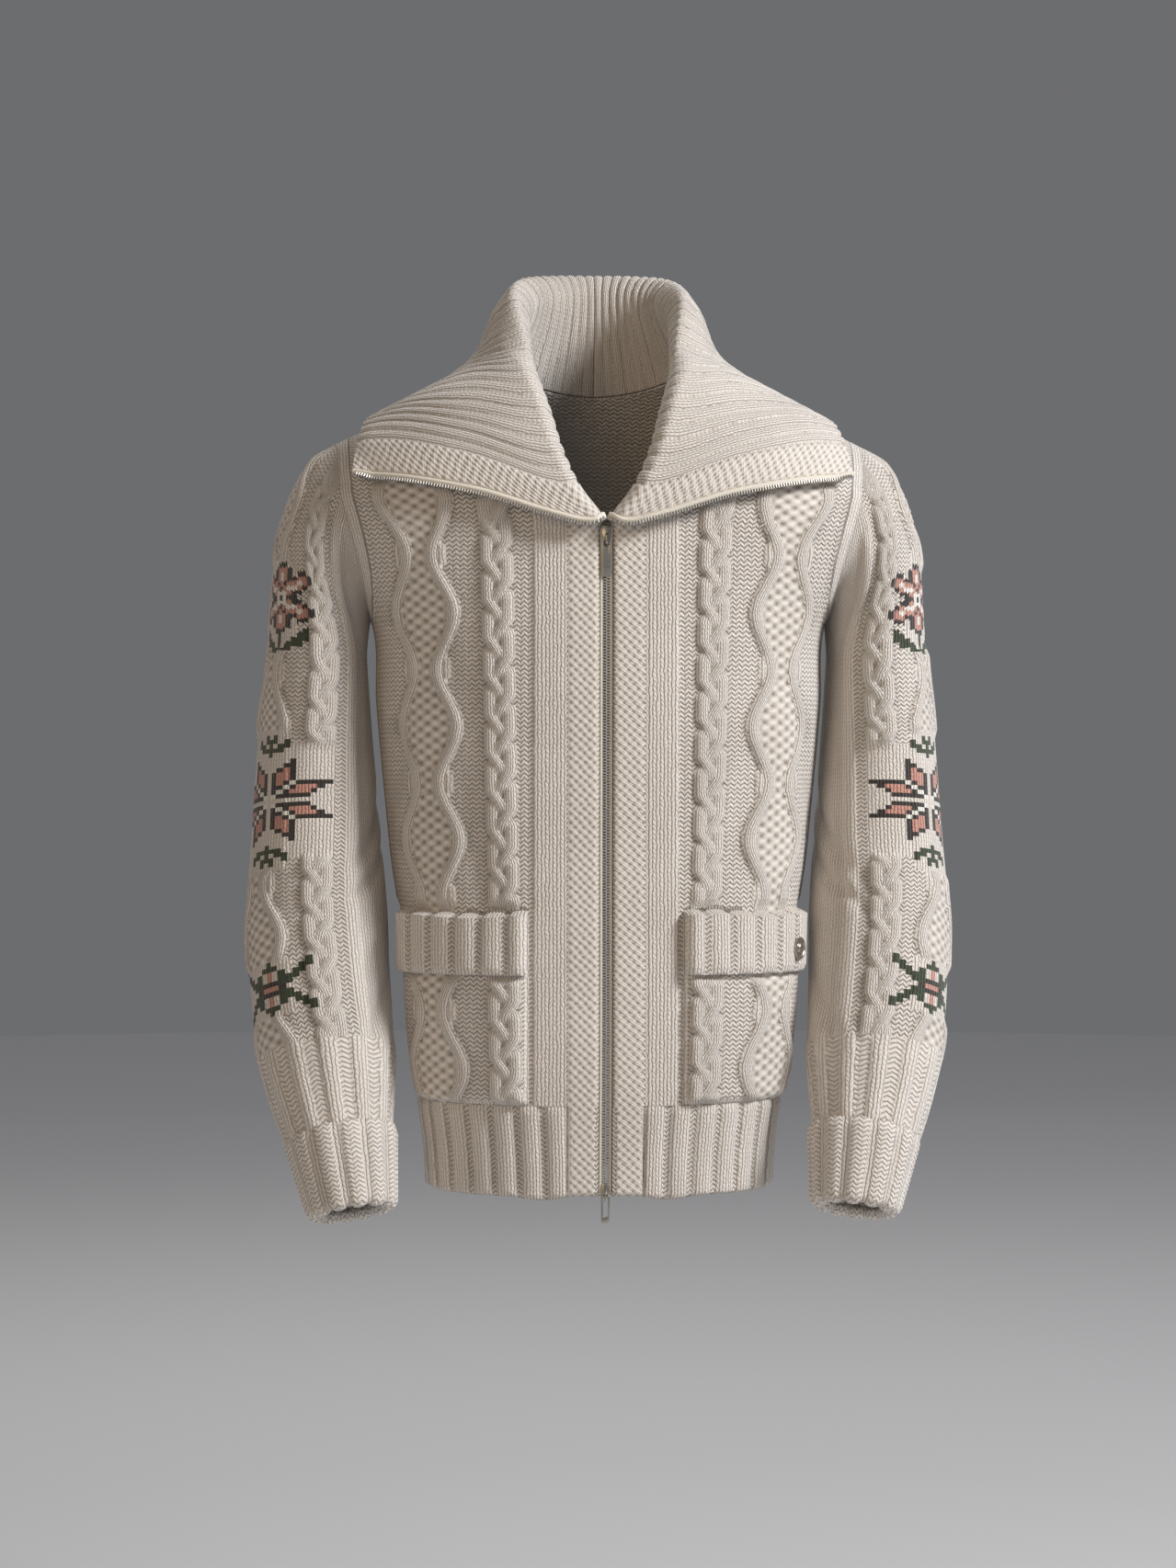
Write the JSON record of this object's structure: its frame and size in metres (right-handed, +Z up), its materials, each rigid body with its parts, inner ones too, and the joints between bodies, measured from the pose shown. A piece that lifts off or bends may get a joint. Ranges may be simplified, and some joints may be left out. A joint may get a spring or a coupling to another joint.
{
  "type": "zip-up cable-knit cardigan",
  "caption": "Chunky cable-knit cardigan in its hollow worn shape, with a tall rib collar folded open, patch pockets, turned-back cuffs and a two-way front zip.",
  "frame": {"origin": "inside the neck, in the zip's plane, 25 mm below the points where the shoulders meet the collar", "axes": "+Z up, the fronts and the zip face -Y, +X to the wearer's left"},
  "size_m": [0.6348, 0.2575, 0.8553],
  "materials": {
    "knit": "thick oatmeal wool knit",
    "zip_tape": "woven tape with a row of metal teeth",
    "steel": "satin"
  },
  "bodies": {
    "garment": {"front_left": "knit", "front_right": "knit", "back": "knit", "hem_left": "knit", "hem_right": "knit", "hem_back": "knit", "sleeve_left": "knit", "sleeve_right": "knit", "cuff_left": "knit", "cuff_right": "knit", "collar": "knit", "pocket_left": "knit", "pocket_right": "knit", "pocket_welt_left": "knit", "pocket_welt_right": "knit", "zip_left": "zip_tape", "zip_right": "zip_tape", "zip_slider_upper": "steel", "zip_slider_lower": "steel", "pocket_snap": "steel"},
    "pull_upper": {"zip_pull_upper": "steel"},
    "pull_lower": {"zip_pull_lower": "steel"}
  },
  "joints": [
    {"name": "upper_pull_hinge", "type": "hinge", "parent": "garment", "child": "pull_upper", "pos_m": [0, -0.12563, -0.1395], "axis": [-1, 0, 0], "range_deg": [0, 100]},
    {"name": "lower_pull_hinge", "type": "hinge", "parent": "garment", "child": "pull_lower", "pos_m": [0, -0.10765, -0.709], "axis": [-1, 0, 0], "range_deg": [0, 100]}
  ]
}
